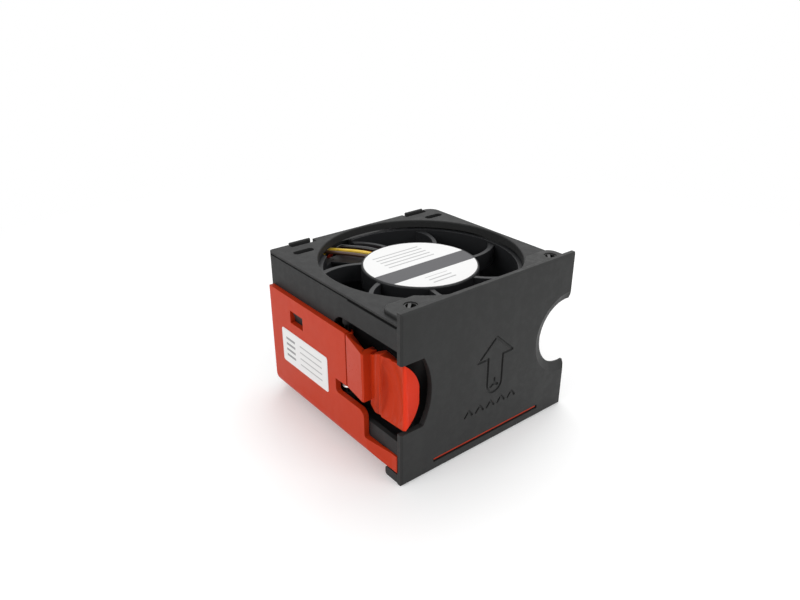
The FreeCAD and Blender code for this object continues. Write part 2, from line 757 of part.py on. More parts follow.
def spring_way(deg):
    """The way the spring's wire runs at an angle of its coil."""
    a = math.radians(deg)
    way = V(-math.sin(a), math.cos(a), spring_pitch / (2 * math.pi * spring_r))
    way.normalize()
    return way


def spring_coil():
    """The helix that the coils follow, from its first angle to its last."""
    turns = spring_turns + (spring_deg1 - spring_deg0) / 360
    coil = Part.makeHelix(spring_pitch, spring_pitch * turns, spring_r)
    coil.rotate(V(0, 0, 0), UP, spring_deg0)
    coil.translate(V(pivot_x, -pivot_y, slot_low_z + spring_lift))
    return coil


def spring_knee():
    """Where the spring's moving leg turns up into the lever."""
    return spring_coil().Vertexes[0].Point - spring_way(spring_deg0) * spring_leg


def lever_spring():
    """Torsion spring round the pin: a leg that rises into the lever, the coils, and a leg along the wall."""
    coil = spring_coil()
    way0 = spring_way(spring_deg0)
    knee = spring_knee()
    bend = 2 * spring_wire_r
    half_turn = way0.getAngle(UP) / 2
    radius = bend * math.tan(half_turn)
    inward = way0 + UP
    inward.normalize()
    middle = knee + inward * (radius / math.sin(half_turn) - radius)
    top = V(knee.x, knee.y, lever_low_z + lever_t)
    end = coil.Vertexes[-1].Point
    edges = [Part.LineSegment(top, knee + UP * bend).toShape(),
             Part.Arc(knee + UP * bend, middle, knee + way0 * bend).toShape(),
             Part.LineSegment(knee + way0 * bend, coil.Vertexes[0].Point).toShape()]
    edges += coil.Edges
    edges.append(Part.LineSegment(end, end + spring_way(spring_deg1) * spring_wall_leg).toShape())
    profile = Part.Wire(Part.makeCircle(spring_wire_r, top, V(0, 0, -1)))
    return Part.Wire(edges).makePipeShell([profile], True, True)


# ---- fan frame --------------------------------------------------------------------------------------
def flange(z0):
    h = half
    corners = [(-h, -h, fan_corner_r), (h, -h, fan_corner_r), (h, h, fan_corner_r), (-h, h, fan_corner_r)]
    return prism(corners, z0, fan_flange_t)


def guide_vane(inner_deg):
    """A curved vane between the motor base and the duct, thicker where it runs into the duct."""
    inner_r, mid_r, outer_r = base_r - 0.9, (base_r + bore_r) / 2, bore_r + 0.6
    sweep = vane_sweep_deg
    centre = [polar(inner_r, inner_deg), polar(mid_r, inner_deg + sweep * 0.36), polar(outer_r, inner_deg + sweep)]
    widths = [vane_t, vane_t, vane_foot_t]
    sides = []
    for sign in (-1, 1):
        line = []
        for p, w in zip(centre, widths):
            across = V(-p.y, p.x, 0)
            across.normalize()
            line.append(p + across * (sign * w / 2))
        sides.append(line)
    low, high = sides
    z = V(0, 0, base_z0)
    edges = [Part.Arc(low[0] + z, low[1] + z, low[2] + z).toShape(),
             Part.LineSegment(low[2] + z, high[2] + z).toShape(),
             Part.Arc(high[2] + z, high[1] + z, high[0] + z).toShape(),
             Part.LineSegment(high[0] + z, low[0] + z).toShape()]
    return Part.Face(Part.Wire(edges)).extrude(V(0, 0, base_skirt - vane_drop))


def wire_shelf():
    """A thin floor between the base and the duct that carries the lead wires."""
    z = fan_z1 - wire_room - wire_shelf_t
    a = [polar(base_r - 1, 86), polar(base_r - 1, 118), polar(bore_r + 0.5, 124), polar(bore_r + 0.5, 102)]
    corners = [V(p.x, p.y, z) for p in a]
    return Part.Face(Part.makePolygon(corners + [corners[0]])).extrude(V(0, 0, wire_shelf_t))


def base_cup():
    """Cup over the motor with the label's recess, and a boss that takes the bearing tube."""
    cup = rod(base_r, base_z0, fan_z1)
    cup = cup.makeFillet(0.6, [e for e in cup.Edges if e.BoundBox.ZMin > fan_z1 - 1e-3])
    cup = cup.cut(rod(base_r - base_wall, base_z0 - 1, fan_z1 - base_floor_t))
    cup = cup.cut(rod(base_r - 0.6, label_z, fan_z1 + 1))
    boss = ring(tube_or + 1.4, tube_or, fan_z1 - base_floor_t - 2.0, fan_z1 - base_floor_t + 0.1)
    return fuse([cup, boss])


def wire_way(y0, z0):
    """Box-shaped way for the lead wires on their way out of the fan, from y0 and z0 up."""
    return box(wire_exit_x(0) - notch_gap, wire_exit_x(3) + 4 * notch_gap, y0, half + 1, z0, fan_z1 + 1)


def fan_frame():
    """Square frame: the duct with its flare, and the two flanges."""
    body = fuse([flange(fan_z0), flange(fan_z1 - fan_flange_t), rod(duct_r, fan_z0, fan_z1)])
    body = body.cut(rod(bore_r, fan_z0 - 1, fan_z1 + 1))
    body = body.cut(Part.makeCone(bore_r + inlet_flare * 0.35, bore_r, inlet_flare, V(0, 0, fan_z0)))
    cuts = [ring_hole(x, y) for x in (-1, 1) for y in (-1, 1)]
    cuts.append(wire_way(base_r + 2, fan_z1 - wire_room))
    cuts.append(wire_way(half - 3, fan_z1 - fan_flange_t - 0.5).cut(rod(duct_r, 0, top_height)))
    return clean(body.cut(cuts))


def motor_base():
    """Motor base with its guide vanes and the wires' shelf, standing in the duct."""
    inside = [guide_vane(vane_first_deg + 360.0 * i / vane_count) for i in range(vane_count)]
    body = fuse([base_cup(), wire_shelf()] + inside).common(rod(bore_r - vane_gap, fan_z0, fan_z1))
    return clean(body.cut([wire_way(base_r + 2, fan_z1 - wire_room), hub_slot()]))


def ring_hole(sx, sy):
    return rod(screw_hole_r, fan_z0 - 1, fan_z1 + 1, sx * screw_pitch / 2, sy * screw_pitch / 2)


def hub_slot():
    """Slot in the base's skirt where the lead wires come out."""
    a = [polar(12.0, 78), polar(base_r + 1, 83), polar(base_r + 1, 120), polar(12.0, 125)]
    corners = [V(p.x, p.y, fan_z1 - wire_room) for p in a]
    return Part.Face(Part.makePolygon(corners + [corners[0]])).extrude(V(0, 0, wire_room - 0.58))


def hub_label():
    return rod(base_r - 0.65, label_z, label_z + label_t)


# ---- rotor ------------------------------------------------------------------------------------------
def blade_section(x, span_deg, z0, z1, thick):
    """Closed curved section of a blade on the plane X = x: two splines and two short ends."""
    steps = 6
    sides = []
    for sign in (1, -1):
        pts = []
        for i in range(steps + 1):
            t = i / steps
            angle = math.radians(span_deg * (1.35 * t - 0.35 * t * t - 0.5))
            grow = thick * (0.35 + 0.65 * math.sin(math.pi * (0.1 + 0.9 * t)))
            pts.append(V(x, x * math.tan(angle) + sign * grow / 2, z0 + (z1 - z0) * t))
        sides.append(pts)
    upper = Part.BSplineCurve()
    upper.interpolate(sides[0])
    lower = Part.BSplineCurve()
    lower.interpolate(sides[1][::-1])
    edges = [upper.toShape(), Part.LineSegment(sides[0][-1], sides[1][-1]).toShape(), lower.toShape(),
             Part.LineSegment(sides[1][0], sides[0][0]).toShape()]
    return Part.Wire(edges)


def blade():
    """A twisted blade, lofted through three sections and trimmed to the hub and to the tip circle."""
    z0, z1 = fan_z0 + blade_in, fan_z1 - blade_out
    wires = [blade_section(hub_r * 0.7, blade_root_deg, z0 + 2.6, z1 - 0.2, blade_t),
             blade_section(hub_r * 1.3, (blade_root_deg + blade_tip_deg) / 2, z0 + 1.0, z1 + 0.2, blade_t * 0.85),
             blade_section(bore_r, blade_tip_deg, z0, z1 + 0.5, blade_t * 0.6)]
    loft = Part.makeLoft(wires, True, False)
    return loft.common(ring(bore_r - tip_gap, hub_r - hub_wall / 2, z0 - 2, z1 + 3))


def impeller():
    """Cup-shaped hub with a domed nose, carrying the twisted blades."""
    z0, z1 = hub_bottom, hub_top
    profile = [V(0, 0, z0), V(hub_r - 4.0, 0, z0)]
    arc = Part.Arc(profile[1], V(hub_r - 1.17, 0, z0 + 1.17), V(hub_r, 0, z0 + 4.0)).toShape()
    edges = [Part.LineSegment(profile[0], profile[1]).toShape(), arc,
             Part.LineSegment(V(hub_r, 0, z0 + 4.0), V(hub_r, 0, z1)).toShape(),
             Part.LineSegment(V(hub_r, 0, z1), V(hub_r - hub_wall, 0, z1)).toShape(),
             Part.LineSegment(V(hub_r - hub_wall, 0, z1), V(hub_r - hub_wall, 0, z0 + 4.0)).toShape(),
             Part.LineSegment(V(hub_r - hub_wall, 0, z0 + 4.0), V(hub_r - 4.2, 0, z0 + 1.4)).toShape(),
             Part.LineSegment(V(hub_r - 4.2, 0, z0 + 1.4), V(0, 0, z0 + 1.4)).toShape(),
             Part.LineSegment(V(0, 0, z0 + 1.4), V(0, 0, z0)).toShape()]
    cup = Part.Face(Part.Wire(edges)).revolve(V(0, 0, 0), UP, 360)
    cup = cup.cut(rod(shaft_r + 0.9, z0 + 0.6, z0 + 5))
    return clean(fuse([cup] + around(blade(), blade_count, 10.0)))


def rotor_yoke():
    """Steel cup pressed into the hub, with a boss for the shaft."""
    r = hub_r - hub_wall - press_gap
    z0 = hub_bottom + 4.4
    cup = rod(r, z0, hub_top - 1.0)
    cup = cup.makeFillet(1.0, [e for e in cup.Edges if e.BoundBox.ZMax < z0 + 1e-3])
    cup = cup.cut(rod(r - yoke_t, z0 + yoke_t, hub_top))
    boss = rod(shaft_r + 1.2, z0, z0 + 3.0)
    return clean(fuse([cup, boss]).cut(rod(shaft_r, z0 - 1, hub_top)))


def rotor_magnet():
    return ring(magnet_or, magnet_ir, stator_z0 - 1.0, stator_z1 + 1.0)


def rotor_shaft():
    top = bearing_top_z() + bearing_w + 1.6
    shaft = rod(shaft_r, hub_bottom + 4.4, top)
    shaft = shaft.makeChamfer(0.3, [e for e in shaft.Edges if e.BoundBox.ZLength < 1e-6])
    groove = ring(shaft_r + 1, shaft_r - 0.25, clip_z(), clip_z() + clip_t)
    return shaft.cut(groove)


def clip_z():
    return bearing_top_z() + bearing_w + 0.3


def shaft_clip():
    clip = ring(shaft_r + 1.1, shaft_r - 0.25, clip_z(), clip_z() + clip_t)
    return clean(clip.cut(box(0, 6, -0.7, 0.7, clip_z() - 1, clip_z() + 1)))


def bearing_low_z():
    return hub_bottom + 8.4


def bearing_top_z():
    return fan_z1 - base_floor_t - 2.6 - bearing_w


def bearing(z0):
    """Ball bearing as one turned ring, with its shields set back between the races."""
    r_in = shaft_r + shaft_fit
    r_out = bearing_or
    c = 0.2
    race = 0.8
    s = 0.25
    pts = [(r_in, z0 + c), (r_in + c, z0), (r_in + race, z0), (r_in + race, z0 + s), (r_out - race, z0 + s),
           (r_out - race, z0), (r_out - c, z0), (r_out, z0 + c)]
    top = [(r, 2 * z0 + bearing_w - z) for r, z in reversed(pts)]
    outline = [V(r, 0, z) for r, z in pts + top]
    return Part.Face(Part.makePolygon(outline + [outline[0]])).revolve(V(0, 0, 0), UP, 360)


def bearing_tube():
    """Brass tube with a shoulder between the two bearings."""
    z0, z1 = bearing_low_z(), fan_z1 - base_floor_t
    tube = ring(tube_or, bearing_or + bearing_fit, z0, z1)
    shoulder = ring(tube_or - 0.1, bearing_or - 0.9, z0 + bearing_w, bearing_top_z())
    return clean(fuse([tube, shoulder]))


# ---- stator -----------------------------------------------------------------------------------------
def stator_tooth(grow=0.0):
    """One T-shaped tooth, with its shoe concentric to the magnet."""
    shoe = ring(stator_r, stator_r - shoe_t, stator_z0, stator_z1)
    a = math.radians(shoe_deg / 2)
    reach = stator_r * 1.6
    wedge = Part.makePolygon([V(0, 0, stator_z0 - 1), V(reach, -reach * math.tan(a), stator_z0 - 1),
                              V(reach, reach * math.tan(a), stator_z0 - 1), V(0, 0, stator_z0 - 1)])
    shoe = shoe.common(Part.Face(wedge).extrude(V(0, 0, stator_h + 2)))
    w = tooth_w / 2 + grow
    stem = box(tube_or + 0.9, stator_r - shoe_t / 2, -w, w, stator_z0 - grow, stator_z1 + grow)
    return fuse([shoe, stem]) if grow == 0 else stem


def stator_core():
    core = ring(tube_or + 1.6, tube_or + press_gap, stator_z0, stator_z1)
    return clean(fuse([core] + around(stator_tooth(), stator_teeth)))


def coil_box(grow):
    w = tooth_w / 2 + grow
    return box(tube_or + 2.3, stator_r - shoe_t - 0.5, -w, w, stator_z0 - grow, stator_z1 + grow)


def stator_insulators():
    """Plastic sleeve round each tooth, under the wire."""
    skin = press_gap
    sleeve = coil_box(insulator_t + skin).cut(box(0, 20, -tooth_w / 2 - skin, tooth_w / 2 + skin,
                                                  stator_z0 - skin, stator_z1 + skin))
    return around(clean(sleeve), stator_teeth)


def stator_windings():
    inner = insulator_t + 2 * press_gap
    outer = inner + 1.5
    coil = coil_box(outer)
    length_edges = [e for e in coil.Edges if e.BoundBox.XLength > 1]
    coil = coil.makeFillet(1.2, length_edges)
    gap = tooth_w / 2 + inner
    coil = coil.cut(box(0, 20, -gap, gap, stator_z0 - inner, stator_z1 + inner))
    shrink = box(tube_or + 2.5, stator_r - shoe_t - 0.7, -20, 20, stator_z0 - 9, stator_z1 + 9)
    return around(clean(coil.common(shrink)), stator_teeth)


def circuit_board():
    board = ring(hub_r - hub_wall - 1.6, tube_or + 0.2, board_z, board_z + board_t)
    parts = [board]
    for deg in (20, 140, 210, 300):
        chip = box(8.4, 11.4, -1.3, 1.3, board_z + board_t - 0.05, board_z + board_t + 0.9)
        chip.rotate(V(0, 0, 0), UP, deg)
        parts.append(chip)
    for deg in (45, 135, 225, 315):
        foot = polar(tube_or + 0.8, deg)
        parts.append(rod(0.5, stator_z1, board_z + 0.1, foot.x, foot.y))
    return clean(fuse(parts))


# ---- lead wires -------------------------------------------------------------------------------------
def wire_z():
    return fan_z1 - 1.9 + wire_d / 2 + 0.02


def wire_layer(i):
    """Height of wire i: the red one runs under the black one."""
    return wire_z() - (wire_d + 0.05 if i == 2 else 0.0)


def wire_angle(i):
    """Bearing at which wire i leaves the motor base."""
    return 113.0 - 8.2 * min(i, 2.4)


def wire_exit_x(i):
    return -17.4 + wire_pitch * i


def wire_route(i):
    """Corner points of wire i, from inside the motor base over the shelf and down the back."""
    lane = 3 if i == 2 else i
    z = wire_layer(i)
    hub = polar(base_r - 3.4, wire_angle(lane), z)
    out = polar(base_r + 4.2, wire_angle(lane) + 1.5 + 0.9 * lane, z)
    y_down = half + 0.25 + wire_d / 2
    x = wire_exit_x(i)
    end_x = (i - 1.5) * connector_pitch
    return [hub, out, V(x, y_down, z), V(x + 0.4, y_down, z - wire_drop),
            V(x * 0.55 + end_x * 0.45, y_down, wire_gather_z),
            V(end_x, y_down, connector_top() + wire_straight), V(end_x, y_down, connector_top())]


def connector_top():
    return connector_z + connector_h


def lead_wire(i):
    return wire_tube(wire_route(i), wire_d)


# ---- back cover and connector -----------------------------------------------------------------------
def back_cover():
    """End cover: two posts that rise into hooks, a low wall with a connector window, and stiffening ribs."""
    w = cover_half_w
    wall = prism([(-w, 0, 1.0), (w, 0, 1.0), (w, cover_top_z, 2.0), (-w, cover_top_z, 2.0)], cover_y0, cover_t, "y")
    parts = [wall]
    for side in (-1, 1):
        xs = sorted((side * hook_x0, side * hook_x1))
        y0 = half + 0.25
        arm = box(xs[0], xs[1], y0, y0 + hook_t, cover_top_z - 8, hook_top_z)
        parts.append(arm.makeChamfer(0.3, [e for e in arm.Edges if e.BoundBox.ZMin > hook_top_z - 1e-3
                                           and e.BoundBox.XLength > 1]))
        parts.append(box(xs[0], xs[1], y0, cover_y0 + 0.5, cover_top_z - 8, cover_top_z - 4))
        post = sorted((side * w, side * (w - 2.0)))
        parts.append(box(post[0], post[1], half + 0.25, cover_y0 + 0.5, 0.0, cover_top_z - 8))
        for z in (cover_rib_z, cover_rib_z + cover_rib_pitch):
            parts.append(box(xs[0] - 1, xs[1] + 1, cover_y1 - 0.2, cover_y1 + cover_rib_h, z, z + 1.2))
    foot = box(-w + 4, w - 4, half + 0.25, cover_y0 + 0.5, 0.0, 1.6)
    parts.append(foot)
    cover = fuse(parts)
    gap = 0.15
    window = box(-connector_w / 2 - gap, connector_w / 2 + gap, half, cover_y1 + 2,
                 connector_z - gap, connector_z + connector_h + gap)
    return clean(cover.cut(window))


def connector_body():
    """Blind-mate socket block: top-entry rear part, a nose with a lead-in, and a row of contact slots."""
    w = connector_w / 2
    z0, z1 = connector_z, connector_top()
    nose = box(-w, w, half + 0.3, cover_y1 + connector_reach, z0, z1)
    tip = [e for e in nose.Edges if e.BoundBox.YMin > cover_y1 + connector_reach - 1e-3]
    nose = nose.makeChamfer(0.9, tip)
    flange_plate = box(-w - 1.6, w + 1.6, cover_y1 + 0.05, cover_y1 + 1.2, z0 - 1.4, z1 + 1.4)
    flange_plate = corner_round(flange_plate, lambda e: e.BoundBox.YLength > 1, 1.0)
    body = fuse([nose, flange_plate])
    slots = []
    for i in range(4):
        x = (i - 1.5) * connector_pitch
        slots.append(box(x - contact_slot / 2, x + contact_slot / 2, cover_y1 - 1.5, cover_y1 + connector_reach + 1,
                         z0 + 1.6, z1 - 1.6))
    for side in (-1, 1):
        slots.append(Part.makeCylinder(0.9, 5, V(side * (w - 1.6), cover_y1 + connector_reach - 4, (z0 + z1) / 2),
                                       V(0, 1, 0)))
    return clean(body.cut(slots))


def connector_contacts():
    """A folded spring contact in each slot."""
    contacts = []
    z0, z1 = connector_z + 1.6, connector_top() - 1.6
    y0 = cover_y1 - 1.5
    y1 = cover_y1 + connector_reach - 1.2
    for i in range(4):
        x = (i - 1.5) * connector_pitch
        outline = [(y0, z0), (y1, z0 + 0.2), (y1, z0 + 0.6), (y1 - 1.5, z0 + 1.5), (y0 + 0.6, z0 + 0.6),
                   (y0 + 0.6, z1 - 0.6), (y1 - 1.5, z1 - 1.5), (y1, z1 - 0.6), (y1, z1 - 0.2), (y0, z1)]
        contacts.append(prism(outline, x - contact_w / 2, contact_w, "x"))
    return contacts


# ---- labels -----------------------------------------------------------------------------------------
def side_label():
    y0, y1 = side_label_y - side_label_len / 2, side_label_y + side_label_len / 2
    z0, z1 = side_label_z - side_label_h / 2, side_label_z + side_label_h / 2
    return prism([(y0, z0, 0.8), (y1, z0, 0.8), (y1, z1, 0.8), (y0, z1, 0.8)],
                 skin_x0 - side_label_t, side_label_t, "x")


def save(name, shape):
    solids = shape if isinstance(shape, list) else [shape]
    solids = [s.Solids[0] if s.Solids else s for s in solids]
    for s in solids:
        if not s.isValid() or s.Volume <= 0:
            print("CHECK", name, s.isValid(), s.Volume)
    out = solids[0] if len(solids) == 1 else Part.makeCompound(solids)
    out.exportStep("parts/" + name + ".step")


def main():
    os.makedirs("parts", exist_ok=True)
    save("housing_shell", housing_shell())
    save("front_plate", front_plate())
    save("plate_rivets", plate_rivets())
    save("latch_carrier", latch_carrier())
    save("release_lever", release_lever())
    save("lever_pin", lever_pin())
    save("lever_spring", lever_spring())
    save("side_label", side_label())
    save("fan_frame", fan_frame())
    save("motor_base", motor_base())
    save("hub_label", hub_label())
    save("impeller", impeller())
    save("rotor_yoke", rotor_yoke())
    save("rotor_magnet", rotor_magnet())
    save("rotor_shaft", rotor_shaft())
    save("shaft_clip", shaft_clip())
    save("bearing_lower", bearing(bearing_low_z()))
    save("bearing_upper", bearing(bearing_top_z()))
    save("bearing_tube", bearing_tube())
    save("stator_core", stator_core())
    save("stator_insulators", stator_insulators())
    save("stator_windings", stator_windings())
    save("circuit_board", circuit_board())
    for i, colour in enumerate(("brown", "yellow", "red", "black")):
        save("lead_wire_" + colour, lead_wire(i))
    save("back_cover", back_cover())
    save("connector_body", connector_body())
    save("connector_contacts", connector_contacts())


main()
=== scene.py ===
import math

import bmesh
import bpy
from mathutils import Matrix, Vector


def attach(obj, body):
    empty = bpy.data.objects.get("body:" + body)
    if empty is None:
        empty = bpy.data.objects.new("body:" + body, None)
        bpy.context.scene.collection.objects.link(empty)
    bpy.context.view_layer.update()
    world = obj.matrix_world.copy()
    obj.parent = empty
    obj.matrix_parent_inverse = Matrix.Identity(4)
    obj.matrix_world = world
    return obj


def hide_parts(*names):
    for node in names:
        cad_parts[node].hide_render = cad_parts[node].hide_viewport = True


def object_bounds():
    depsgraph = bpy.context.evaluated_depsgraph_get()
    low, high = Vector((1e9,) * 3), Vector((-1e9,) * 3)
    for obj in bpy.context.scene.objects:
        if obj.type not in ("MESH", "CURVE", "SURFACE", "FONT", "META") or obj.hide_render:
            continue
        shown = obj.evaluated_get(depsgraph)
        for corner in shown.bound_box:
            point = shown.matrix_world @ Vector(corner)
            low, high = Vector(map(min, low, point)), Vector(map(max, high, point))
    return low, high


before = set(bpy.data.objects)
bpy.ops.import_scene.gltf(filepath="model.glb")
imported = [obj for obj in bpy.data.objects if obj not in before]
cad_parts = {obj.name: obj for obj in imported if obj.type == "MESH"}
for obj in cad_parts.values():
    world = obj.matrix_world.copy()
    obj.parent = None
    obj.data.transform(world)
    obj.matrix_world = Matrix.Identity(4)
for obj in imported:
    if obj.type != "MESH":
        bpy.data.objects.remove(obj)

cad_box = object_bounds()
MM = 0.001
WHITE = (1.0, 1.0, 1.0)
NO_LIGHT = (0.0, 0.0, 0.0)


# ---- shader maths -----------------------------------------------------------------------------------
class Sock:
    """A socket that takes part in Python expressions; each operator adds its Math node."""

    def __init__(self, graph, socket):
        self.graph = graph
        self.socket = socket

    def _math(self, operation, *values):
        return self.graph.add("ShaderNodeMath", {"operation": operation}, dict(enumerate(values)))

    def __add__(self, other):
        return self._math("ADD", self, other)

    def __radd__(self, other):
        return self._math("ADD", other, self)

    def __sub__(self, other):
        return self._math("SUBTRACT", self, other)

    def __rsub__(self, other):
        return self._math("SUBTRACT", other, self)

    def __mul__(self, other):
        return self._math("MULTIPLY", self, other)

    def __rmul__(self, other):
        return self._math("MULTIPLY", other, self)

    def __truediv__(self, other):
        return self._math("DIVIDE", self, other)

    def __mod__(self, other):
        return self._math("FLOORED_MODULO", self, other)

    def clamp(self):
        """Kept between 0 and 1."""
        return self._math("MINIMUM", self._math("MAXIMUM", self, 0.0), 1.0)

    def over(self, other):
        """The larger of the two."""
        return self._math("MAXIMUM", self, other)

    def root(self):
        return self._math("SQRT", self)


class Graph:
    """A tree of shader nodes, which all come from add()."""

    def __init__(self, tree):
        self.tree = tree

    def add(self, kind, settings=None, sockets=None, out=0):
        """Add a node, set it up, fill its sockets with values or links, and give one of its outputs."""
        node = self.tree.nodes.new(kind)
        for key, value in (settings or {}).items():
            setattr(node, key, value)
        for key, value in (sockets or {}).items():
            self.put(node.inputs[key], value)
        return Sock(self, node.outputs[out]) if node.outputs else None

    def put(self, socket, value):
        if isinstance(value, Sock):
            self.tree.links.new(value.socket, socket)
        elif hasattr(value, "__len__") and len(value) == 3 and socket.type == "RGBA":
            socket.default_value = (*value, 1.0)
        else:
            socket.default_value = value

    def place(self):
        """Object coordinates in millimetres, as a vector."""
        raw = self.add("ShaderNodeTexCoord", out="Object")
        return self.add("ShaderNodeVectorMath", {"operation": "SCALE"}, {0: raw, 3: 1 / MM})

    def split(self, vector):
        """A vector's x, y and z as sockets."""
        parts = self.add("ShaderNodeSeparateXYZ", None, {0: vector})
        return [Sock(self, output) for output in parts.socket.node.outputs]

    def noise(self, vector, scale, detail=2.0, rough=0.5, stretch=(1, 1, 1)):
        """Noise between 0 and 1; scale is in features per millimetre."""
        moved = self.add("ShaderNodeVectorMath", {"operation": "MULTIPLY"}, {0: vector, 1: stretch})
        return self.add("ShaderNodeTexNoise", None,
                        {"Vector": moved, "Scale": scale, "Detail": detail, "Roughness": rough})

    def mix(self, factor, a, b):
        """Colour a where factor is 0, colour b where it is 1.

        A Mix node has its colours at inputs 6 and 7, and at output 2."""
        return self.add("ShaderNodeMix", {"data_type": "RGBA"}, {0: factor, 6: a, 7: b}, out=2)

    def bump(self, height, distance_mm, strength=1.0, edge_mm=0.0):
        """Bump from a height between 0 and 1, over edges that are rounded in the shading."""
        sockets = {"Height": height, "Distance": distance_mm * MM, "Strength": strength}
        if edge_mm:
            sockets["Normal"] = self.add("ShaderNodeBevel", {"samples": 4}, {"Radius": edge_mm * MM})
        return self.add("ShaderNodeBump", None, sockets)


class Finish(Graph):
    """One material's nodes, with its own shader and output."""

    def __init__(self, name):
        self.material = bpy.data.materials.new(name)
        self.material.use_nodes = True
        super().__init__(self.material.node_tree)
        self.shader = next(n for n in self.tree.nodes if n.type == "BSDF_PRINCIPLED")
        self.output = next(n for n in self.tree.nodes if n.type == "OUTPUT_MATERIAL")

    def set(self, **sockets):
        """Fill the shader's sockets, named with underscores, and give the material."""
        for key, value in sockets.items():
            self.put(self.shader.inputs[key.replace("_", " ")], value)
        return self.material


def band(value, low, high, soft=0.03):
    """1 between two values, 0 outside, with a short soft step."""
    return ((value - low) / soft).clamp() * ((high - value) / soft).clamp()


# ---- finishes ---------------------------------------------------------------------------------------
def moulded_plastic(name, dark, light, rough, grain_mm=0.35, grain_depth=0.012, edge_mm=0.22, handled=0.0,
                    coat=0.0, sheen=0.5, painted_light=None):
    """Injection-moulded plastic: spark-eroded grain, slow tone drift, rubbed patches and rounded edges.

    handled is how much the rubbing shows, and sheen how strongly the surface mirrors. painted_light is a
    function of x, y and z that marks where a painted highlight goes, with the highlight's colour."""
    g = Finish(name)
    mm = g.place()
    drift = g.noise(mm, 0.06, 3.0)
    cloud = g.noise(mm, 0.5, 4.0, 0.6)
    grain = g.noise(mm, 1.0 / grain_mm, 2.0, 0.7)
    flow = g.noise(mm, 0.25, 2.0, 0.5, (1.0, 1.0, 0.2))
    tone = (drift * 0.5 + cloud * 0.3 + grain * 0.2).clamp()
    colour = g.mix(tone, dark, light)
    # Painted highlight: a lighter colour mixed in where the given mask is 1.
    if painted_light:
        light_mask, glow = painted_light
        colour = g.mix(light_mask(*g.split(mm)), colour, glow)
    rubbed = ((cloud * 0.6 + flow * 0.4 - 0.45) * 5.0).clamp() * handled
    matt = rough + (grain - 0.5) * 0.16 - rubbed * 0.14 + (drift - 0.5) * 0.08
    return g.set(Base_Color=colour, Roughness=matt, Normal=g.bump(grain, grain_depth, 0.8, edge_mm),
                 Coat_Weight=coat, Coat_Roughness=0.3, Specular_IOR_Level=sheen)


def metal(name, dark, light, rough, stretch=(1, 1, 1), scale=3.0, metallic=1.0):
    """Bare metal with fine streaks, stretched along the way it was drawn, turned or rolled."""
    g = Finish(name)
    mm = g.place()
    streak = g.noise(mm, scale, 3.0, 0.6, stretch)
    return g.set(Base_Color=g.mix(streak, dark, light), Metallic=metallic,
                 Roughness=rough + (streak - 0.5) * 0.2, Normal=g.bump(streak, 0.006, 0.6, 0.08))


def wire_insulation(name, dark, light):
    """Soft, slightly glossy insulation."""
    g = Finish(name)
    mm = g.place()
    tone = g.noise(mm, 0.8, 2.0)
    fine = g.noise(mm, 6.0, 2.0)
    return g.set(Base_Color=g.mix(tone, dark, light), Roughness=0.34 + (fine - 0.5) * 0.15,
                 Normal=g.bump(fine, 0.01, 0.5))


def paper_label(name, ink):
    """White film label with slight waves; ink is a function that gives the grey print's mask."""
    g = Finish(name)
    mm = g.place()
    fibre = g.noise(mm, 5.0, 3.0)
    wave = g.noise(mm, 0.12, 2.0)
    white = g.mix(fibre, (0.78, 0.78, 0.77), (0.86, 0.86, 0.86))
    return g.set(Base_Color=g.mix(ink(*g.split(mm)), white, INK_GREY), Roughness=0.48 + (fibre - 0.5) * 0.1,
                 Normal=g.bump(wave * 0.8 + fibre * 0.2, 0.06, 0.4), Specular_IOR_Level=0.2)


INK_GREY = (0.095, 0.095, 0.1)
PALE_INK, MID_INK = 0.5, 0.7
BLACK_DARK, BLACK_LIGHT = (0.019, 0.0193, 0.0193), (0.028, 0.0284, 0.0284)
black_shell = moulded_plastic("black_shell", BLACK_DARK, BLACK_LIGHT, 0.55, handled=0.6, sheen=0.15)
black_plate = moulded_plastic("black_plate", (0.020, 0.0204, 0.0202), (0.030, 0.0305, 0.0302), 0.52,
                              handled=1.0, edge_mm=0.3, sheen=0.18)
black_fan = moulded_plastic("black_fan", (0.013, 0.0134, 0.0145), (0.021, 0.0216, 0.0232), 0.36,
                            grain_mm=0.6, grain_depth=0.004, sheen=0.25)
RED_DARK, RED_LIGHT = (0.46, 0.029, 0.005), (0.56, 0.042, 0.009)
red_carrier = moulded_plastic("red_carrier", RED_DARK, RED_LIGHT, 0.4, grain_mm=0.5, grain_depth=0.006,
                              handled=0.6, sheen=0.12)
# Painted highlight on the lever's lip: a brighter orange-red in place of the front light that falls on it.
RED_PAINTED_LIP_LIGHT = (0.74, 0.036, 0.010)
LIP_X, LIP_Y = -33.6, -31.9


def lip_painted_light_mask(x, y, z):
    """Mask of the painted highlight on the lever's lip, which stands in for the front light falling on it.
    """
    return ((LIP_Y - y) / 0.5).clamp() * ((x - LIP_X) / 0.8).clamp()


# The lever's finish carries a painted highlight on its lip.
red_lever = moulded_plastic("red_lever", RED_DARK, RED_LIGHT, 0.36, grain_mm=0.8, grain_depth=0.0015,
                            handled=0.5, sheen=0.12, painted_light=(lip_painted_light_mask, RED_PAINTED_LIP_LIGHT))
nylon_black = moulded_plastic("nylon_black", (0.012, 0.012, 0.012), (0.02, 0.02, 0.02), 0.38, edge_mm=0.12)
nylon_natural = moulded_plastic("nylon_natural", (0.62, 0.58, 0.48), (0.74, 0.70, 0.60), 0.45, edge_mm=0.1)
solder_mask = moulded_plastic("solder_mask", (0.01, 0.09, 0.03), (0.02, 0.14, 0.05), 0.3, edge_mm=0.1,
                              coat=0.4)
ferrite = moulded_plastic("ferrite", (0.03, 0.028, 0.027), (0.05, 0.046, 0.044), 0.6, edge_mm=0.15)
spring_steel = metal("spring_steel", (0.7, 0.7, 0.69), (0.9, 0.9, 0.88), 0.3, metallic=0.6)
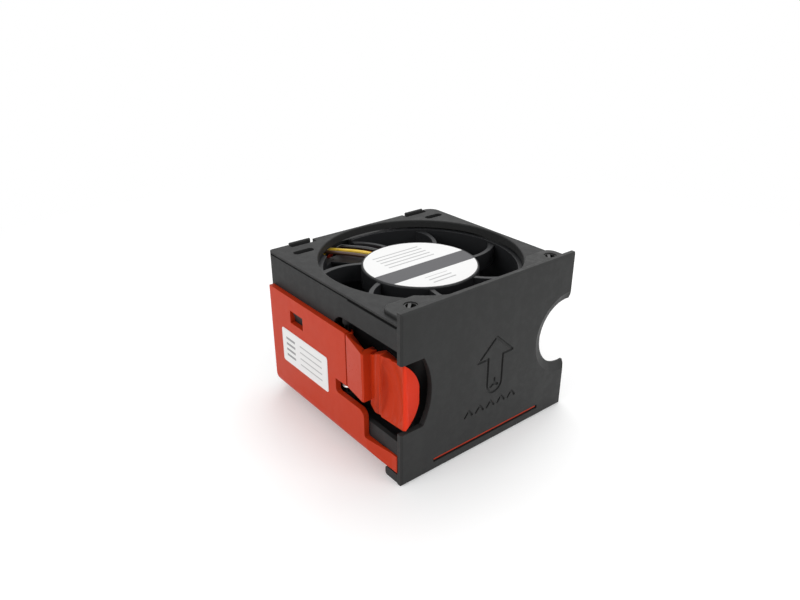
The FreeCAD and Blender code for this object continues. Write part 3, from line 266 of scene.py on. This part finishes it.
black_oxide = metal("black_oxide", (0.02, 0.02, 0.021), (0.04, 0.04, 0.042), 0.4)
drawn_steel = metal("drawn_steel", (0.42, 0.42, 0.42), (0.58, 0.58, 0.58), 0.36, (0.2, 0.2, 3.0))
laminated_steel = metal("laminated_steel", (0.25, 0.25, 0.26), (0.42, 0.42, 0.43), 0.45, (0.05, 0.05, 6.0))
turned_brass = metal("turned_brass", (0.55, 0.38, 0.13), (0.72, 0.52, 0.22), 0.3, (0.3, 0.3, 4.0))
gold_flash = metal("gold_flash", (0.78, 0.56, 0.22), (0.9, 0.68, 0.3), 0.25)
copper_wire = metal("copper_wire", (0.55, 0.2, 0.08), (0.75, 0.32, 0.14), 0.3, (1, 1, 8.0))

HUB_BAND = (-7.0, 0.0)
SHORT_BARS_Z, LONG_BARS_Z = 16.4, 16.2


def rules(across, along, pitch, line, rows, run):
    """Thin parallel lines: line is their place in each pitch, rows what they fill, run how far they go."""
    return band(across % pitch, *line) * band(across, *rows) * band(along, *run)


def hub_ink(x, y, z):
    """A plain dark band across the disc, and thin grey rules each side of it."""
    stripe = band(y, *HUB_BAND)
    far = rules(y, x, pitch=2.0, line=(0.7, 1.3), rows=(1.9, 11.6), run=(-9.5, 8.0))
    near = rules(y, x, pitch=2.0, line=(0.7, 1.3), rows=(-13.4, -9.0), run=(-6.0, 2.5))
    return (stripe + far * PALE_INK + near * PALE_INK).clamp()


def side_ink(x, y, z):
    """A few plain grey bars in two groups."""
    short = rules(z - SHORT_BARS_Z, y, pitch=1.9, line=(0.35, 1.15), rows=(-0.2, 7.6), run=(15.5, 20.5))
    long = rules(z - LONG_BARS_Z, y, pitch=2.05, line=(0.5, 0.95), rows=(0.0, 8.0), run=(1.0, 12.8))
    return (short * MID_INK + long * PALE_INK).clamp()


hub_film = paper_label("hub_film", hub_ink)
side_film = paper_label("side_film", side_ink)

FINISH = {
    "housing_shell": black_shell, "front_plate": black_plate, "back_cover": black_shell,
    "plate_rivets": nylon_black, "latch_carrier": red_carrier, "release_lever": red_lever,
    "lever_spring": spring_steel, "lever_pin": black_oxide, "side_label": side_film, "hub_label": hub_film,
    "fan_frame": black_fan, "motor_base": black_fan, "impeller": black_fan, "rotor_yoke": drawn_steel,
    "rotor_magnet": ferrite, "rotor_shaft": drawn_steel, "shaft_clip": spring_steel,
    "bearing_lower": drawn_steel, "bearing_upper": drawn_steel, "bearing_tube": turned_brass,
    "stator_core": laminated_steel, "stator_insulators": nylon_natural, "stator_windings": copper_wire,
    "circuit_board": solder_mask, "connector_body": nylon_black, "connector_contacts": gold_flash,
    "lead_wire_brown": wire_insulation("insulation_brown", (0.05, 0.02, 0.01), (0.08, 0.035, 0.018)),
    "lead_wire_yellow": wire_insulation("insulation_yellow", (0.72, 0.46, 0.02), (0.82, 0.55, 0.04)),
    "lead_wire_red": wire_insulation("insulation_red", (0.4, 0.02, 0.012), (0.5, 0.03, 0.02)),
    "lead_wire_black": wire_insulation("insulation_black", (0.008, 0.008, 0.008), (0.014, 0.014, 0.014)),
}
for node_name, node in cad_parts.items():
    node.data.materials.clear()
    node.data.materials.append(FINISH[node_name])


# ---- release lever with its full thumb dish ---------------------------------------------------------
DISH_CENTRE, DISH_HALF = (-34.7, -28.6, 26.9), (4.0, 4.1, 10.6)
DISH_LEAN = math.radians(-9.0)
SHARP_EDGE = math.radians(28)
TRIM_LOW, TRIM_HIGH = (-36.0, -11.5, 35.2), (-26.0, 0.0, 40.0)
WELD = 0.001 * MM


def cutter(name, build):
    """A closed helper solid in millimetres that build() makes in a bmesh."""
    work = bmesh.new()
    build(work)
    bmesh.ops.scale(work, vec=(MM, MM, MM), verts=work.verts)
    bmesh.ops.recalc_face_normals(work, faces=work.faces)
    mesh = bpy.data.meshes.new(name)
    work.to_mesh(mesh)
    work.free()
    tool = bpy.data.objects.new(name, mesh)
    bpy.context.scene.collection.objects.link(tool)
    return tool


def dish_ball(work):
    """Stretched ball that leans back at its top."""
    bmesh.ops.create_uvsphere(work, u_segments=96, v_segments=64, radius=1.0)
    bmesh.ops.scale(work, vec=DISH_HALF, verts=work.verts)
    bmesh.ops.rotate(work, cent=(0, 0, 0), matrix=Matrix.Rotation(DISH_LEAN, 3, "X"), verts=work.verts)
    bmesh.ops.translate(work, vec=DISH_CENTRE, verts=work.verts)


def trim_box(work):
    """Box over the top of the barrel."""
    bmesh.ops.create_cube(work, size=1.0)
    low, high = Vector(TRIM_LOW), Vector(TRIM_HIGH)
    bmesh.ops.scale(work, vec=high - low, verts=work.verts)
    bmesh.ops.translate(work, vec=(low + high) / 2, verts=work.verts)


def dished_lever():
    """The lever's own solid with the deep dish scooped out and the barrel's top trimmed."""
    work = bmesh.new()
    work.from_mesh(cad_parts["release_lever"].data)
    bmesh.ops.remove_doubles(work, verts=work.verts, dist=WELD)
    mesh = bpy.data.meshes.new("lever_dished")
    work.to_mesh(mesh)
    work.free()
    lever = bpy.data.objects.new("lever_dished", mesh)
    bpy.context.scene.collection.objects.link(lever)
    tools = [cutter("dish_tool", dish_ball), cutter("trim_tool", trim_box)]
    for tool in tools:
        step = lever.modifiers.new(tool.name, "BOOLEAN")
        step.operation = "DIFFERENCE"
        step.solver = "EXACT"
        step.object = tool
    bpy.context.view_layer.update()
    shaped = bpy.data.meshes.new_from_object(lever.evaluated_get(bpy.context.evaluated_depsgraph_get()))
    lever.modifiers.clear()
    lever.data = shaped
    for tool in tools:
        bpy.data.objects.remove(tool)
    for face in shaped.polygons:
        face.use_smooth = True
    shaped.set_sharp_from_angle(angle=SHARP_EDGE)
    shaped.materials.clear()
    shaped.materials.append(red_lever)
    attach(lever, "release_lever")
    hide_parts("release_lever")


dished_lever()


# ---- floor, light and camera ------------------------------------------------------------------------
FLOOR_HALF = 3.0
FLOOR_LIFT = 0.22
SHADOW_REACH = (90.0, 260.0)
SKY_LIGHT = 0.55
SOFT_BOXES = {  # place and side in metres, then watts
    "top_box": ((0.3, 0.25, 0.7), 0.6, 2.9),
    "front_box": ((0.3, -0.75, 0.45), 0.5, 2.6),
    "left_box": ((-0.75, 0.05, 0.4), 0.5, 2.2),
}
LAMP_TARGET = (0, 0, 0.02)
EYE = (-0.12618, -0.14854, 0.12601)
EYE_YAW, EYE_PITCH, EYE_ROLL = math.radians(38.60), math.radians(25.66), math.radians(0.06)
LENS_MM = 31.9095
SENSOR_MM = 36.0


def seen_ray(g):
    """1 for rays that come straight from the camera, from gloss or through glass."""
    kinds = ("Is Camera Ray", "Is Glossy Ray", "Is Transmission Ray")
    camera, gloss, glass = (g.add("ShaderNodeLightPath", out=kind) for kind in kinds)
    return camera.over(gloss).over(glass)


def floor_finish():
    """Near-white sweep: matt paper that keeps the object's shadow and is plain white further out."""
    g = Finish("floor_paper")
    mm = g.place()
    x, y, _ = g.split(mm)
    tone = g.noise(mm, 0.004, 2.0)
    g.set(Base_Color=g.mix(tone, (0.80, 0.80, 0.80), (0.84, 0.84, 0.84)), Roughness=0.9)
    seen = seen_ray(g)
    glow = g.add("ShaderNodeEmission", None, {"Color": WHITE, "Strength": FLOOR_LIFT})
    clear = g.add("ShaderNodeEmission", None, {"Color": NO_LIGHT, "Strength": 0.0})
    lift = g.add("ShaderNodeMixShader", None, {0: seen, 1: clear, 2: glow})
    near = g.add("ShaderNodeAddShader", None, {0: Sock(g, g.shader.outputs[0]), 1: lift})
    white = g.add("ShaderNodeEmission", None, {"Color": WHITE, "Strength": 1.0})
    start, end = SHADOW_REACH
    far = (((x * x + y * y).root() - start) / (end - start)).clamp() * seen
    g.put(g.output.inputs["Surface"], g.add("ShaderNodeMixShader", None, {0: far, 1: near, 2: white}))
    return g.material


def make_floor():
    """The plane that the module stands on."""
    z = cad_box[0].z
    corners = [(x * FLOOR_HALF, y * FLOOR_HALF, z) for x, y in ((-1, -1), (1, -1), (1, 1), (-1, 1))]
    mesh = bpy.data.meshes.new("floor")
    mesh.from_pydata(corners, [], [(0, 1, 2, 3)])
    mesh.materials.append(floor_finish())
    floor = bpy.data.objects.new("floor", mesh)
    bpy.context.scene.collection.objects.link(floor)


def make_world():
    """Even pale light on the object, and plain white for the rays that see the world itself."""
    world = bpy.data.worlds.new("studio")
    bpy.context.scene.world = world
    world.use_nodes = True
    world.node_tree.nodes.clear()
    g = Graph(world.node_tree)
    light = g.add("ShaderNodeBackground", None, {"Color": WHITE, "Strength": SKY_LIGHT})
    white = g.add("ShaderNodeBackground", None, {"Color": WHITE, "Strength": 1.0})
    surface = g.add("ShaderNodeMixShader", None, {0: seen_ray(g), 1: light, 2: white})
    g.add("ShaderNodeOutputWorld", None, {"Surface": surface})


def soft_box(name, place, side, watts):
    """Square lamp that points at the object."""
    light = bpy.data.lights.new(name, "AREA")
    light.shape = "SQUARE"
    light.size = side
    light.energy = watts
    lamp = bpy.data.objects.new(name, light)
    lamp.location = place
    lamp.rotation_euler = (Vector(LAMP_TARGET) - Vector(place)).to_track_quat("-Z", "Y").to_euler()
    bpy.context.scene.collection.objects.link(lamp)


def make_camera():
    """Camera that looks down at the -X and -Y sides."""
    camera = bpy.data.cameras.new("camera")
    camera.sensor_width = SENSOR_MM
    camera.lens = LENS_MM
    camera.clip_start = 0.01
    eye = bpy.data.objects.new("camera", camera)
    eye.location = EYE
    eye.rotation_euler = (math.radians(90) - EYE_PITCH, EYE_ROLL, -EYE_YAW)
    bpy.context.scene.collection.objects.link(eye)
    bpy.context.scene.camera = eye


make_floor()
make_world()
for box_name, box_settings in SOFT_BOXES.items():
    soft_box(box_name, *box_settings)
make_camera()
bpy.context.scene.view_settings.view_transform = "Standard"
